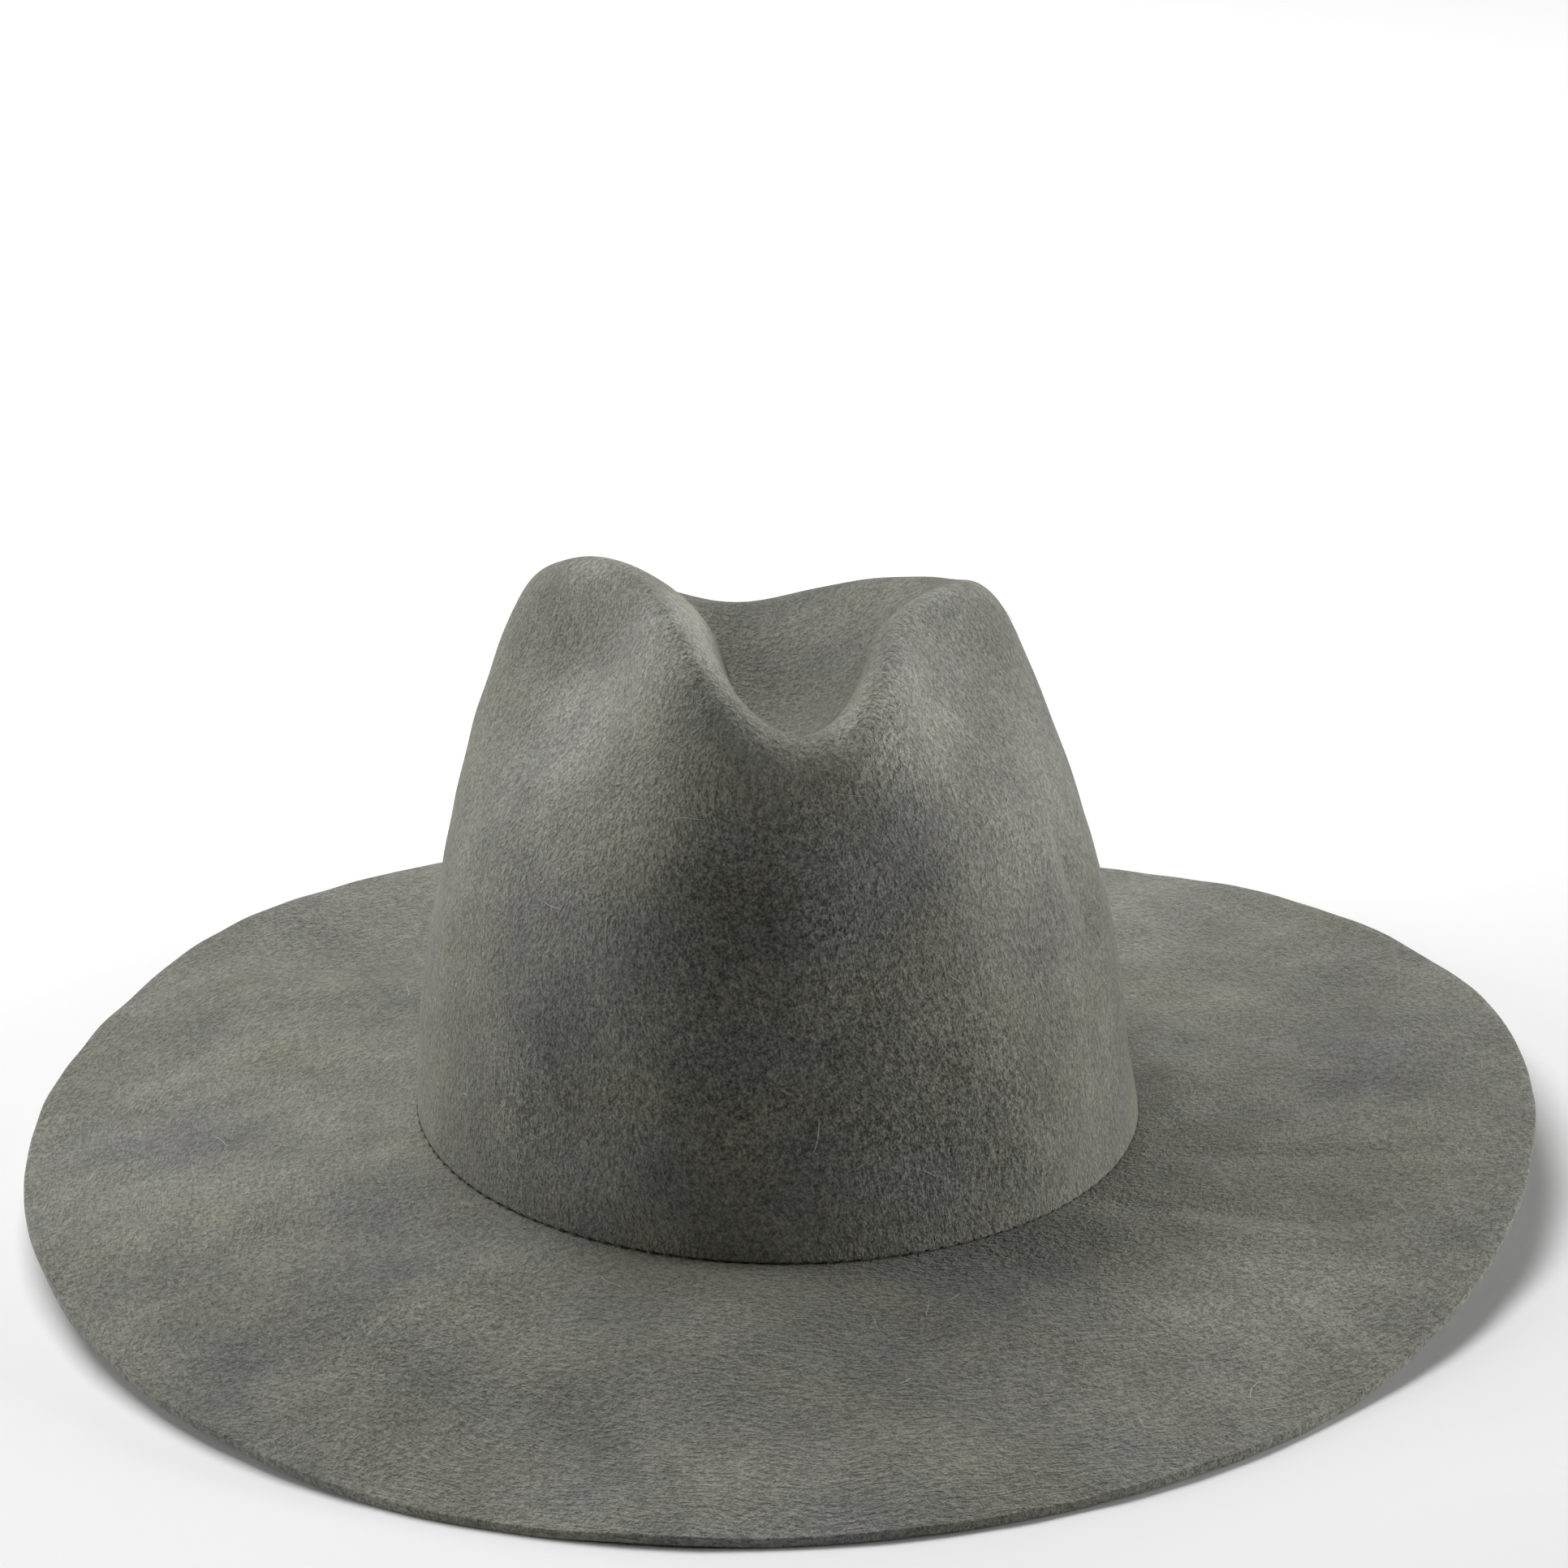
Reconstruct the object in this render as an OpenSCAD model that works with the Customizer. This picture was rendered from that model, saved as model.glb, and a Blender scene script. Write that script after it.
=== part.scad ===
// A soft felt hat: a dented, front-pinched crown sewn to a wide wavy brim, with sweatband and lining.
// Each piece is drawn in the hat's own frame, where the seam between crown and brim lies in the plane
// z = 0 and the front of the hat faces -Y. stand() then sets the whole hat down on its brim.
// "turn" is the angle round the hat in degrees, from +X. "climb" runs from 0 at the seam to 1 at the
// middle of the top. "depth" is measured inwards from the outer face of the crown's felt.

/* [Crown] */
// width of the crown at the seam, over the felt
crown_width = 172; // [166:1:180]
// length of the crown at the seam, over the felt
crown_length = 206; // [198:1:214]
// height of the crown before its top is dented
crown_rise = 166; // [160:1:172]
// depth of the dent at the middle of the crown
dent_depth = 75; // [68:1:78]
// how far the front of the crown is pinched in on the wearer's right
pinch_depth = 20; // [12:1:22]

/* [Brim] */
// width of the brim from the seam to its cut edge
brim_width = 93; // [70:1:100]
// height of the waves in the brim's edge, as a share of the usual
brim_wave = 1; // [0.8:0.05:1.1]

/* [Felt and leather] */
// thickness of the felt
felt_thickness = 2.2; // [1.8:0.1:2.6]
// height of the leather sweatband
sweatband_height = 38; // [32:1:42]

/* [Output] */
// node to draw, or all

/* [Hidden] */

half_width = crown_width / 2;
half_length = crown_length / 2;

// shape of the crown's wall and top: larger is squarer
plan_fullness = 2.88;
top_fullness = 1.35;

// the crown leans to the wearer's right and its other side is pulled up a little
crown_lean = 6.6;
side_pull = 1.7;
side_pull_reach = 60;
side_pull_starts = 0.3;

// the centre dent is a valley pressed into the crown: its floor is lowest in the middle and rises to a
// lip at the front and at the back, and its sides are steep at the front and open out to the back
dent_floor = crown_rise - dent_depth;
front_lip = crown_rise - 51;
back_lip = crown_rise - 59.5;
front_rise = [-15, -80];
back_rise = [0, 75];
steepening = [60, -75];
valley_middle = [-2.2, 1.1];
valley_slope = [0.96, 2.62];
valley_width = [26.9, 32];

// the fold at the valley's edge is soft along the sides and crisper at the front lip
fold_softness = [34, 22];
fold_sharpens = [-30, -78];

// middle and reach of the front pinches; the wearer's left is pinched less
right_pinch_middle = [-45.5, -23.6, 115.7];
right_pinch_reach = [29.5, 36, 36];
left_pinch_middle = [39.8, -35, 126.2];
left_pinch_reach = [26, 31.2, 34.6];
left_pinch_share = 0.61;
pinch_backward = 0.6;

// height of the brim's cut edge at each angle: level part, then cosine and sine for each wave count
edge_level = -7;
edge_waves = [[8.2, 11.6], [4.9, -2.3], [2.2, 0.9], [0, 0.5], [0, -1.1]];
brim_sweep = 1.35;

// the tilt that brings the lowest stretches of the edge level, so that the hat stands still
rest_tilt = [-2.67, 2.51, 0];

seam_gap = 0.15;
lining_thickness = 0.4;
lining_depth = felt_thickness + 0.7;
leather_thickness = 1;
leather_depth = felt_thickness + 1.7;
leather_face = leather_depth + leather_thickness;
leather_joint = 0.35;
back_turn = 90;

reed_radius = 1.1;
tape_inside = 1.25;
tape_outside = 1.7;
tape_edge = felt_thickness + 0.3;
tape_tab_height = 9;
reed_depth = tape_edge + tape_outside;
reed_height = -2.6;
leather_foot = reed_height + tape_outside + 0.3;

lining_foot = 12;
lining_seam_half_gap = 0.004;
piping_radius = 0.8;
piping_depth = lining_depth + lining_thickness + piping_radius + 0.4;

seam_stitch_count = 136;
seam_stitch_length = 2.2;
seam_stitch_thread = 0.5;
seam_stitch_height = 0.5;
seam_stitch_gap = 0.1;
band_stitch_count = 112;
band_stitch_length = 3;
band_stitch_thread = 0.45;
band_stitch_height = 4;
band_stitch_gap = 0.25;
lacing_count = 7;
lacing_length = 5;
lacing_slant = 35;
lacing_margin = 4;
lacing_gap = 0.5;

bow_size = [24, 1.4, 11];
bow_knot = [4.5, 6];
bow_height = 12;
bow_gap = 2.4;
tag_turns = [146, 154];
tag_heights = [20, leather_foot + sweatband_height + 8];
tag_columns = 6;
tag_thickness = 0.2;

crown_columns = 72;
crown_climbs = [for (i = [0:27]) i * 0.97 / 27];
lining_seam_climb = crown_climbs[14];
brim_columns = 96;
brim_shares = [0, 0.15, 0.35, 0.55, 0.75, 0.9, 1];
band_columns = 72;

// ---------------------------------------------------------------- shape of the crown and the brim

function blend(from, to, value) =
    let (share = min(1, max(0, (value - from) / (to - from))))
    share * share * (3 - 2 * share);

function bell(distance, reach) = exp(-pow(distance / reach, 2));

function mix(from_to, share) = from_to[0] + (from_to[1] - from_to[0]) * share;

// the lesser of two heights, with the corner between them rounded over
function softer_min(first, second, softness) =
    let (share = min(1, max(0, 0.5 + 0.5 * (second - first) / softness)))
    first * share + second * (1 - share) - softness * share * (1 - share);

function valley_height(x, y) =
    let (
        floor_height = dent_floor + (front_lip - dent_floor) * blend(front_rise[0], front_rise[1], y)
            + (back_lip - dent_floor) * blend(back_rise[0], back_rise[1], y),
        steep = blend(steepening[0], steepening[1], y),
        width = mix(valley_width, steep),
        away = x - mix(valley_middle, steep)
    )
    floor_height + mix(valley_slope, steep) * (sqrt(width * width + away * away) - width);

// the blocked crown with its centre dent, before the front is pinched
function dented_point(turn, climb) =
    let (
        spread = pow(cos(90 * climb), 2 / plan_fullness),
        rise = pow(sin(90 * climb), 2 / top_fullness),
        x = half_width * spread * cos(turn),
        y = half_length * spread * sin(turn),
        leant_x = x - crown_lean * rise,
        pull = side_pull * x / side_pull_reach * blend(side_pull_starts, 1, rise),
        softness = mix(fold_softness, blend(fold_sharpens[0], fold_sharpens[1], y))
    )
    [leant_x, y, softer_min(crown_rise * rise + pull, valley_height(leant_x, y), softness)];

function pinch_share(point, middle, reach) =
    bell(point.x - middle.x, reach.x) * bell(point.y - middle.y, reach.y)
    * bell(point.z - middle.z, reach.z);

function crown_point(turn, climb) =
    let (
        point = dented_point(turn, climb),
        right = pinch_depth * pinch_share(point, right_pinch_middle, right_pinch_reach),
        left = pinch_depth * left_pinch_share * pinch_share(point, left_pinch_middle, left_pinch_reach)
    )
    point + [right - left, pinch_backward * (left + right), 0];

// unit vectors of the crown's outer face: outwards, and up the wall
function crown_facing(turn, climb) =
    let (
        step = 0.004,
        round = crown_point(turn + 0.5, climb) - crown_point(turn - 0.5, climb),
        up = crown_point(turn, min(1, climb + step)) - crown_point(turn, max(0, climb - step)),
        out = cross(round, up)
    )
    [out / norm(out), up / norm(up)];

function crown_skin(turn, climb, depth, along = 0) =
    let (facing = crown_facing(turn, climb))
    crown_point(turn, climb) - depth * facing[0] + along * facing[1];

function crown_middle(depth) = crown_point(0, 1) - [0, 0, depth];

// a point on the lower wall, found by its height over the seam plane instead of its climb
function climb_at(height) = asin(pow(max(0, height) / crown_rise, top_fullness / 2)) / 90;

function wall_point(turn, height, depth) =
    crown_skin(turn, climb_at(height), depth) + [0, 0, min(0, height)];

function edge_height(angle) =
    brim_wave * (edge_level + [for (i = [0:4]) 1]
    * [for (i = [0:4]) edge_waves[i] * [cos((i + 1) * angle), sin((i + 1) * angle)]]);

// a point on the brim's upper face; share runs from 0 at the seam to 1 at the cut edge
function brim_point(turn, share) =
    let (
        seam = [half_width * cos(turn), half_length * sin(turn)],
        outwards = [cos(turn) / half_width, sin(turn) / half_length],
        place = seam + outwards / norm(outwards) * brim_width * share,
        height = edge_height(atan2(place.y, place.x)) * pow(max(0, share), brim_sweep)
    )
    [place.x, place.y, height - seam_gap];

// ---------------------------------------------------------------- building closed solids from rings

function turns(count) = [for (i = [0:count - 1]) 360 * i / count];

function turns_between(from, to, count) = [for (i = [0:count]) from + (to - from) * i / count];

function walls(rows, columns, wrap_rows, wrap_columns) = [
    for (i = [0:rows - (wrap_rows ? 1 : 2)]) for (j = [0:columns - (wrap_columns ? 1 : 2)])
        let (
            a = i * columns + j,
            b = i * columns + (j + 1) % columns,
            c = ((i + 1) % rows) * columns + (j + 1) % columns,
            d = ((i + 1) % rows) * columns + j
        )
        each [[a, d, c], [a, c, b]]
];

// rings run up the outer side of the section and down its inner side
module ring_solid(rings) {
    polyhedron([for (ring = rings) each ring], walls(len(rings), len(rings[0]), true, true));
}

// the same section over part of a turn, closed at both ends
module strip_solid(rings) {
    columns = len(rings[0]);
    rows = len(rings);
    near_end = [for (i = [1:rows - 2]) [0, (i + 1) * columns, i * columns]];
    far_end = [for (i = [1:rows - 2]) [0, i * columns, (i + 1) * columns] + [1, 1, 1] * (columns - 1)];
    polyhedron(
        [for (ring = rings) each ring],
        concat(walls(rows, columns, true, false), near_end, far_end)
    );
}

// a dome: rings run down the inner face and up the outer face, and a point closes each face
module dome_solid(rings, inner_middle, outer_middle) {
    columns = len(rings[0]);
    rows = len(rings);
    count = rows * columns;
    last = count - columns;
    inner_cap = [for (j = [0:columns - 1]) [count, j, (j + 1) % columns]];
    outer_cap = [for (j = [0:columns - 1]) [count + 1, last + (j + 1) % columns, last + j]];
    polyhedron(
        concat([for (ring = rings) each ring], [inner_middle, outer_middle]),
        concat(walls(rows, columns, false, true), inner_cap, outer_cap)
    );
}

function skin_ring(climb, depth, along = 0) =
    [for (turn = turns(crown_columns)) crown_skin(turn, climb, depth, along)];

// a skin that follows the crown from a climb up to the middle of the top
module crown_dome(climbs, depth, thickness) {
    inner = [for (i = [len(climbs) - 1:-1:0]) skin_ring(climbs[i], depth + thickness)];
    outer = [for (climb = climbs) skin_ring(climb, depth)];
    dome_solid(concat(inner, outer), crown_middle(depth + thickness), crown_middle(depth));
}

// rings for a section of [depth, height] corners carried round the lower wall
function wall_rings(section, turn_list) =
    [for (corner = section) [for (turn = turn_list) wall_point(turn, corner[1], corner[0])]];

function arc(middle, radius, from, to, steps) = [
    for (i = [0:steps])
        let (angle = from + (to - from) * i / steps)
        [middle[0] - radius * cos(angle), middle[1] + radius * sin(angle)]
];

// a straight bit of thread lying on the wall, turned from level by the slant
module thread(turn, height, depth, length, diameter, slant = 0) {
    heading = atan2(half_length * cos(turn), -half_width * sin(turn));
    translate(wall_point(turn, height, depth))
        rotate([0, 0, heading])
            rotate([0, 90 - slant, 0])
                cylinder(h = length, d = diameter, center = true, $fn = 24);
}

// ---------------------------------------------------------------- setting the hat down

function tilted(point) =
    let (
        y = point.y * cos(rest_tilt.x) - point.z * sin(rest_tilt.x),
        z = point.y * sin(rest_tilt.x) + point.z * cos(rest_tilt.x)
    )
    [
        point.x * cos(rest_tilt.y) + z * sin(rest_tilt.y),
        y,
        z * cos(rest_tilt.y) - point.x * sin(rest_tilt.y)
    ];

cut_edge = [for (turn = turns(brim_columns)) tilted(brim_point(turn, 1) - [0, 0, felt_thickness])];
edge_x = [for (point = cut_edge) point.x];
edge_y = [for (point = cut_edge) point.y];
edge_z = [for (point = cut_edge) point.z];
rest_shift = -[(min(edge_x) + max(edge_x)) / 2, (min(edge_y) + max(edge_y)) / 2, min(edge_z)];

module stand() {
    translate(rest_shift) rotate(rest_tilt) children();
}

// ---------------------------------------------------------------- felt

module crown() {
    color([0.36, 0.37, 0.3]) stand() crown_dome(crown_climbs, 0, felt_thickness);
}

module brim() {
    shares = concat([-felt_thickness / brim_width], brim_shares);
    last = len(shares) - 1;
    top = [for (i = [last:-1:0]) [for (turn = turns(brim_columns)) brim_point(turn, shares[i])]];
    bottom = [
        for (share = shares)
            [for (turn = turns(brim_columns)) brim_point(turn, share) - [0, 0, felt_thickness]]
    ];
    color([0.36, 0.37, 0.3]) stand() ring_solid(concat(top, bottom));
}

// short stitches that show in the corner between crown and brim
module seam_stitches() {
    color([0.16, 0.16, 0.13]) stand()
        for (turn = turns(seam_stitch_count))
            thread(
                turn, seam_stitch_height, -seam_stitch_thread / 2 - seam_stitch_gap,
                seam_stitch_length, seam_stitch_thread
            );
}

// ---------------------------------------------------------------- sweatband

// a leather strip whose ends meet at the back
module sweatband() {
    heights = [for (share = [0:0.25:1]) leather_foot + share * sweatband_height];
    outer = [for (i = [0:4]) [leather_depth, heights[i]]];
    inner = [for (i = [4:-1:0]) [leather_face, heights[i]]];
    turn_list = turns_between(back_turn + leather_joint, back_turn + 360 - leather_joint, band_columns);
    color([0.3, 0.17, 0.1]) stand() strip_solid(wall_rings(concat(outer, inner), turn_list));
}

// the bendy cord that keeps the opening's shape
module sweatband_reed() {
    section = arc([reed_depth, reed_height], reed_radius, 0, 315, 7);
    color([0.8, 0.78, 0.7]) stand() ring_solid(wall_rings(section, turns(band_columns)));
}

// the tape folded round the reed, with a tab that is sewn between leather and felt
module reed_tape() {
    middle = [reed_depth, reed_height];
    round_outside = arc(middle, tape_outside, -250, 0, 6);
    round_inside = arc(middle, tape_inside, 0, -250, 6);
    tab = [[tape_edge, tape_tab_height], [reed_depth - tape_inside, tape_tab_height]];
    section = concat(round_outside, tab, round_inside);
    color([0.2, 0.2, 0.19]) stand() ring_solid(wall_rings(section, turns(band_columns)));
}

// the row of stitches along the foot of the leather
module sweatband_stitches() {
    half_step = 180 / band_stitch_count;
    depth = leather_face + band_stitch_thread / 2 + band_stitch_gap;
    color([0.55, 0.45, 0.32]) stand()
        for (turn = turns(band_stitch_count))
            thread(turn + half_step, band_stitch_height, depth, band_stitch_length, band_stitch_thread);
}

// slanted stitches that close the leather's joint at the back
module sweatband_back_lacing() {
    foot = band_stitch_height + lacing_margin;
    head = leather_foot + sweatband_height - lacing_margin;
    step = (head - foot) / (lacing_count - 1);
    depth = leather_face + band_stitch_thread / 2 + lacing_gap;
    color([0.55, 0.45, 0.32]) stand()
        for (i = [0:lacing_count - 1])
            thread(
                back_turn, foot + i * step, depth, lacing_length, band_stitch_thread,
                (i % 2 == 0 ? 1 : -1) * lacing_slant
            );
}

// a flat ribbon bow over the foot of the joint
module sweatband_bow() {
    place = wall_point(back_turn, bow_height, leather_face + bow_gap);
    half = bow_size.x / 2;
    waist = bow_size.z / 5;
    outline = [
        [-half, -bow_size.z / 2], [0, -waist], [half, -bow_size.z / 2],
        [half, bow_size.z / 2], [0, waist], [-half, bow_size.z / 2]
    ];
    color([0.1, 0.1, 0.09]) stand() translate(place) rotate([90, 0, 0]) {
        linear_extrude(bow_size.y) polygon(outline);
        translate([0, 0, bow_size.y]) cube([bow_knot.x, bow_knot.y, bow_size.y], center = true);
    }
}

// ---------------------------------------------------------------- lining and tag

module lining_side() {
    foot = climb_at(lining_foot);
    head = lining_seam_climb - lining_seam_half_gap;
    climbs = concat([foot], [for (climb = crown_climbs) if (climb > foot && climb < head) climb], [head]);
    outer = [for (climb = climbs) [climb, lining_depth]];
    inner = [for (i = [len(climbs) - 1:-1:0]) [climbs[i], lining_depth + lining_thickness]];
    rings = [for (corner = concat(outer, inner)) skin_ring(corner[0], corner[1])];
    color([0.16, 0.15, 0.13]) stand() ring_solid(rings);
}

module lining_tip() {
    foot = lining_seam_climb + lining_seam_half_gap;
    climbs = concat([foot], [for (climb = crown_climbs) if (climb > foot) climb]);
    color([0.2, 0.18, 0.15]) stand() crown_dome(climbs, lining_depth, lining_thickness);
}

// the covered cord sewn between the lining's side and tip
module lining_piping() {
    section = arc([piping_depth, 0], piping_radius, 0, 300, 5);
    rings = [for (corner = section) skin_ring(lining_seam_climb, corner[0], corner[1])];
    color([0.24, 0.2, 0.12]) stand() ring_solid(rings);
}

// a blank tag that stands up behind the sweatband
module size_tag() {
    depth = (lining_depth + lining_thickness + leather_depth - tag_thickness) / 2;
    section = [
        [depth, tag_heights[0]], [depth, tag_heights[1]],
        [depth + tag_thickness, tag_heights[1]], [depth + tag_thickness, tag_heights[0]]
    ];
    turn_list = turns_between(tag_turns[0], tag_turns[1], tag_columns);
    color([0.85, 0.83, 0.78]) stand() strip_solid(wall_rings(section, turn_list));
}

crown();
brim();
seam_stitches();
sweatband();
sweatband_reed();
reed_tape();
sweatband_stitches();
sweatband_back_lacing();
sweatband_bow();
lining_side();
lining_tip();
lining_piping();
size_tag();
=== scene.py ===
"""A soft felt hat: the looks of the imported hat, in the same frame and at the same size.

Each piece is drawn in millimetres in the hat's own frame, where the seam between crown and brim lies in
the plane z = 0 and the front of the hat faces -Y. stand() then sets it down on its brim and turns
millimetres into metres, exactly as the CAD model is set down. "turn" is the angle round the hat in
degrees, "climb" runs from 0 at the seam to 1 at the middle of the top, and "depth" is measured inwards
from the outer face of the crown's felt.
"""
import math

import bpy
import numpy as np
from mathutils import Matrix, Vector


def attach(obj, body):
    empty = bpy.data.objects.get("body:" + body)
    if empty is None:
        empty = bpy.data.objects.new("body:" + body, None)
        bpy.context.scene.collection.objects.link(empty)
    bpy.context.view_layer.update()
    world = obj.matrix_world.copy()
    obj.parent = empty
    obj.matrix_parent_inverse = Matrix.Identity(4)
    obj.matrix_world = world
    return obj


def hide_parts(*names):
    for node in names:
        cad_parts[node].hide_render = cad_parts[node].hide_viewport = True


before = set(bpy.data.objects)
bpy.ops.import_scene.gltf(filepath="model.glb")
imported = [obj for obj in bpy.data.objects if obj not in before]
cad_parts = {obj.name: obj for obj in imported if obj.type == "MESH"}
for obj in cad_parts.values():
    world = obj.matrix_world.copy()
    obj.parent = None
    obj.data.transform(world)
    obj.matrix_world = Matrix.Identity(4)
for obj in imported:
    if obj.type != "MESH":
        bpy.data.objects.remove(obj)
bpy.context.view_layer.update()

# ---------------------------------------------------------------- sizes, as in the CAD model, in mm

HALF_WIDTH = 86.0
HALF_LENGTH = 103.0
CROWN_RISE = 166.0
BRIM_WIDTH = 93.0
FELT = 2.2
PLAN_FULLNESS = 2.88
TOP_FULLNESS = 1.35
# how far the crown leans to -X, and how much its shoulder rises for each mm towards +X
CROWN_LEAN = 6.6
SIDE_PULL = 1.7 / 60
DENT_FLOOR = CROWN_RISE - 75
FRONT_LIP = CROWN_RISE - 51
BACK_LIP = CROWN_RISE - 59.5
# the dent's middle, the slope of its sides and its width, each as (at the back, at the front)
VALLEY_MIDDLE = (-2.2, 1.1)
VALLEY_SLOPE = (0.96, 2.62)
VALLEY_WIDTH = (26.9, 32.0)
FOLD_SOFTNESS = (34.0, 22.0)
# stretches of y, each as (where a change starts, where it is complete)
FRONT_LIP_RISE = (-15, -80)
BACK_LIP_RISE = (0, 75)
SIDES_STEEPEN = (60, -75)
FOLDS_TIGHTEN = (-30, -78)
# pinches: middle, reach along x, y and z, and how far in
RIGHT_PINCH = ((-45.5, -23.6, 115.7), (29.5, 36.0, 36.0), 20.0)
LEFT_PINCH = ((39.8, -35.0, 126.2), (26.0, 31.2, 34.6), 12.2)
PINCH_BACKWARD = 0.6
EDGE_LEVEL = -7.0
# the brim edge's height round the hat: cosine and sine parts of 1 to 5 waves
EDGE_WAVES = ((8.2, 11.6), (4.9, -2.3), (2.2, 0.9), (0.0, 0.5), (0.0, -1.1))
BRIM_SWEEP = 1.35
SEAM_GAP = 0.15
REST_TILT = (-2.67, 2.51)

LINING_DEPTH = FELT + 0.7
LINING = 0.4
LEATHER_DEPTH = FELT + 1.7
LEATHER = 1.0
LEATHER_FACE = LEATHER_DEPTH + LEATHER
REED_RADIUS = 1.1
TAPE_INSIDE = 1.25
TAPE_OUTSIDE = 1.7
TAPE_EDGE = FELT + 0.3
REED_DEPTH = TAPE_EDGE + TAPE_OUTSIDE
REED_HEIGHT = -2.6
LEATHER_FOOT = REED_HEIGHT + TAPE_OUTSIDE + 0.3
BAND_HEIGHT = 38.0
BAND_TOP = LEATHER_FOOT + BAND_HEIGHT
# heights on the leather: of its stitching over the seam plane, and of the groove below its top
SEWING_LINE = 4.0
TOP_GROOVE = 4.0
LINING_FOOT = 12.0
# the climb at which the lining's side meets its tip, and half the gap between them
LINING_SEAM = 14 * 0.97 / 27
LINING_SEAM_GAP = 0.004
BACK_TURN = 90.0
SEAM_STITCHES = 136
BAND_STITCHES = 112
LACING_STITCHES = 7
HAIRS = 70


# ---------------------------------------------------------------- shape of the crown and the brim

def blend(start, end, value):
    share = np.clip((value - start) / (end - start), 0, 1)
    return share * share * (3 - 2 * share)


def bell(distance, reach):
    return np.exp(-(distance / reach) ** 2)


def cosd(angle):
    return np.cos(np.radians(angle))


def sind(angle):
    return np.sin(np.radians(angle))


def turns(count):
    return np.arange(count) * 360.0 / count


def softer_min(first, second, softness):
    """The lesser of two heights, with the corner between them rounded over."""
    share = np.clip(0.5 + 0.5 * (second - first) / softness, 0, 1)
    return first * share + second * (1 - share) - softness * share * (1 - share)


def valley_height(x, y):
    """The dent: its floor rises to a lip at the front and the back, its sides open out to the back."""
    height = DENT_FLOOR + (FRONT_LIP - DENT_FLOOR) * blend(*FRONT_LIP_RISE, y)
    height = height + (BACK_LIP - DENT_FLOOR) * blend(*BACK_LIP_RISE, y)
    steep = blend(*SIDES_STEEPEN, y)
    middle, slope, width = (
        back + (front - back) * steep for back, front in (VALLEY_MIDDLE, VALLEY_SLOPE, VALLEY_WIDTH)
    )
    return height + slope * (np.sqrt(width ** 2 + (x - middle) ** 2) - width)


def crown_point(turn, climb):
    """The outer face of the crown: a blocked dome, dented along the middle and pinched at the front."""
    turn, climb = np.broadcast_arrays(np.asarray(turn, float), np.clip(np.asarray(climb, float), 0, 1))
    spread = np.maximum(cosd(90 * climb), 0) ** (2 / PLAN_FULLNESS)
    rise = np.maximum(sind(90 * climb), 0) ** (2 / TOP_FULLNESS)
    x = HALF_WIDTH * spread * cosd(turn)
    y = HALF_LENGTH * spread * sind(turn)
    z = CROWN_RISE * rise + SIDE_PULL * x * blend(0.3, 1, rise)
    x = x - CROWN_LEAN * rise
    back_softness, front_softness = FOLD_SOFTNESS
    softness = back_softness + (front_softness - back_softness) * blend(*FOLDS_TIGHTEN, y)
    points = np.stack([x, y, softer_min(z, valley_height(x, y), softness)], -1)
    pushes = [
        depth * np.exp(-(((points - middle) / reach) ** 2).sum(-1))
        for middle, reach, depth in (RIGHT_PINCH, LEFT_PINCH)
    ]
    inwards = np.stack([pushes[0] - pushes[1], PINCH_BACKWARD * (pushes[0] + pushes[1]), 0 * x], -1)
    return points + inwards


def unit(vectors):
    return vectors / np.maximum(np.linalg.norm(vectors, axis=-1, keepdims=True), 1e-9)


def crown_facing(turn, climb):
    """Unit vectors of the crown's outer face: outwards, and up the wall."""
    climb = np.minimum(climb, 0.995)
    around = crown_point(turn + 0.5, climb) - crown_point(turn - 0.5, climb)
    up = crown_point(turn, climb + 0.004) - crown_point(turn, climb - 0.004)
    return unit(np.cross(around, up)), unit(up)


def crown_skin(turn, climb, depth=0.0, along=0.0):
    turn, climb, depth, along = np.broadcast_arrays(turn, climb, depth, along)
    out, up = crown_facing(turn, climb)
    return crown_point(turn, climb) - depth[..., None] * out + along[..., None] * up


def climb_at(height):
    return np.degrees(np.arcsin((np.maximum(0, height) / CROWN_RISE) ** (TOP_FULLNESS / 2))) / 90


def wall_point(turn, height, depth):
    """A point on the lower wall, by its height over the seam plane."""
    turn, height, depth = np.broadcast_arrays(
        np.asarray(turn, float), np.asarray(height, float), np.asarray(depth, float)
    )
    points = crown_skin(turn, climb_at(height), depth)
    points[..., 2] += np.minimum(0, height)
    return points


def edge_height(angle):
    waves = [c * np.cos(k * angle) + s * np.sin(k * angle) for k, (c, s) in enumerate(EDGE_WAVES, 1)]
    return EDGE_LEVEL + sum(waves)


def brim_point(turn, share):
    """The brim's upper face; share runs from 0 at the seam to 1 at the cut edge."""
    turn, share = np.broadcast_arrays(np.asarray(turn, float), np.asarray(share, float))
    out = unit(np.stack([cosd(turn) / HALF_WIDTH, sind(turn) / HALF_LENGTH], -1))
    x = HALF_WIDTH * cosd(turn) + out[..., 0] * BRIM_WIDTH * share
    y = HALF_LENGTH * sind(turn) + out[..., 1] * BRIM_WIDTH * share
    z = edge_height(np.arctan2(y, x)) * np.maximum(0, share) ** BRIM_SWEEP
    return np.stack([x, y, z - SEAM_GAP], -1)


# ---------------------------------------------------------------- setting the hat down

def tilted(points):
    ax, ay = np.radians(REST_TILT)
    y = points[..., 1] * np.cos(ax) - points[..., 2] * np.sin(ax)
    z = points[..., 1] * np.sin(ax) + points[..., 2] * np.cos(ax)
    x = points[..., 0] * np.cos(ay) + z * np.sin(ay)
    return np.stack([x, y, z * np.cos(ay) - points[..., 0] * np.sin(ay)], -1)


cut_edge = tilted(brim_point(turns(96), 1) - np.array([0, 0, FELT]))
REST_SHIFT = -np.append((cut_edge[:, :2].min(0) + cut_edge[:, :2].max(0)) / 2, cut_edge[:, 2].min())


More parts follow.
